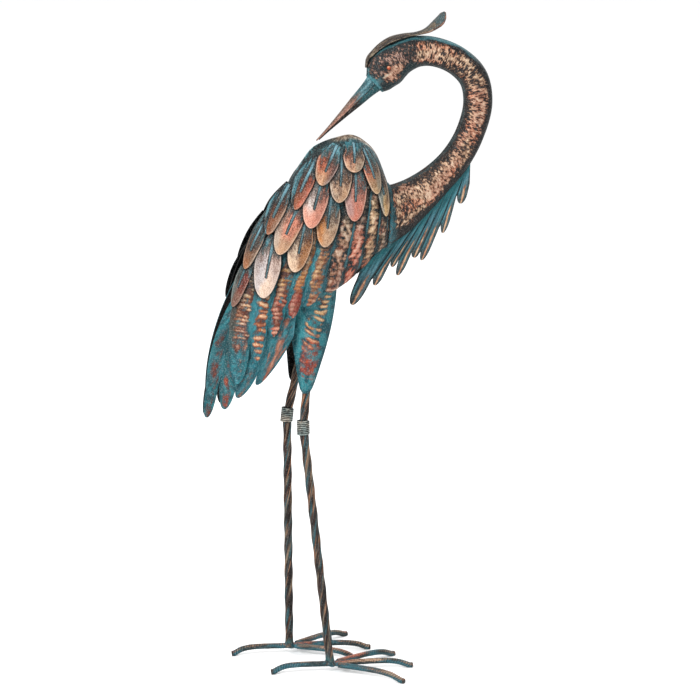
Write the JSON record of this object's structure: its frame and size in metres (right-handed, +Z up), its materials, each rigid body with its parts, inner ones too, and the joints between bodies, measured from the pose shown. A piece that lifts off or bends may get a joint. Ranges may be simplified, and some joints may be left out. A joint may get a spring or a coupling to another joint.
{
  "type": "metal heron garden statue",
  "caption": "Standing heron of hammered sheet metal, preening with its neck bent back over layered wing feathers, on twisted-bar legs with ribbed-rod toes.",
  "frame": {"origin": "middle of the bounding box at ground level, under the toes' ground-off ends", "axes": "+X the way the breast points, +Y the bird's own left side, +Z up; the bird's middle plane lies at y = -5.75 mm, because its left foot stands wider"},
  "size_m": [0.3952, 0.2286, 0.899],
  "materials": {
    "hammered_copper": "hammered sheet, dark brown patina with tan and copper highlights and teal seams",
    "teal_flutes": "hammered sheet, teal patina with copper and red-brown bumps",
    "feather_copper": "salmon copper sheet feathers with teal roots",
    "teal_plume": "teal patina with copper ribs and edges",
    "dark_bar": "dark slate-brown bar with worn copper edges",
    "eye_copper": "bright copper bead"
  },
  "bodies": {
    "root": {"body_shell": "hammered_copper", "neck_and_head": "hammered_copper", "upper_beak": "feather_copper", "lower_beak": "hammered_copper", "crest": "feather_copper", "breast_plume": "teal_plume", "left_eye": "eye_copper", "left_wing_flutes": "teal_flutes", "left_tail_feathers": "teal_flutes", "left_feather_neck_edge": "feather_copper", "left_feather_shoulder_1": "feather_copper", "left_feather_shoulder_2": "feather_copper", "left_feather_shoulder_3": "feather_copper", "left_feather_upper_1": "feather_copper", "left_feather_upper_2": "feather_copper", "left_feather_upper_3": "feather_copper", "left_feather_middle_1": "feather_copper", "left_feather_middle_2": "feather_copper", "left_feather_middle_3": "feather_copper", "left_feather_lower_1": "feather_copper", "left_feather_lower_2": "feather_copper", "left_feather_lower_3": "feather_copper", "left_feather_last_1": "feather_copper", "left_feather_last_2": "feather_copper", "left_thigh": "teal_flutes", "left_upper_leg": "dark_bar", "left_lower_leg": "dark_bar", "left_knee_coil": "dark_bar", "left_long_toe": "dark_bar", "left_inner_toe": "dark_bar", "left_outer_toe": "dark_bar", "right_eye": "eye_copper", "right_wing_flutes": "teal_flutes", "right_tail_feathers": "teal_flutes", "right_feather_neck_edge": "feather_copper", "right_feather_shoulder_1": "feather_copper", "right_feather_shoulder_2": "feather_copper", "right_feather_shoulder_3": "feather_copper", "right_feather_upper_1": "feather_copper", "right_feather_upper_2": "feather_copper", "right_feather_upper_3": "feather_copper", "right_feather_middle_1": "feather_copper", "right_feather_middle_2": "feather_copper", "right_feather_middle_3": "feather_copper", "right_feather_lower_1": "feather_copper", "right_feather_lower_2": "feather_copper", "right_feather_lower_3": "feather_copper", "right_feather_last_1": "feather_copper", "right_feather_last_2": "feather_copper", "right_thigh": "teal_flutes", "right_upper_leg": "dark_bar", "right_lower_leg": "dark_bar", "right_knee_coil": "dark_bar", "right_long_toe": "dark_bar", "right_inner_toe": "dark_bar", "right_outer_toe": "dark_bar"}
  },
  "joints": []
}
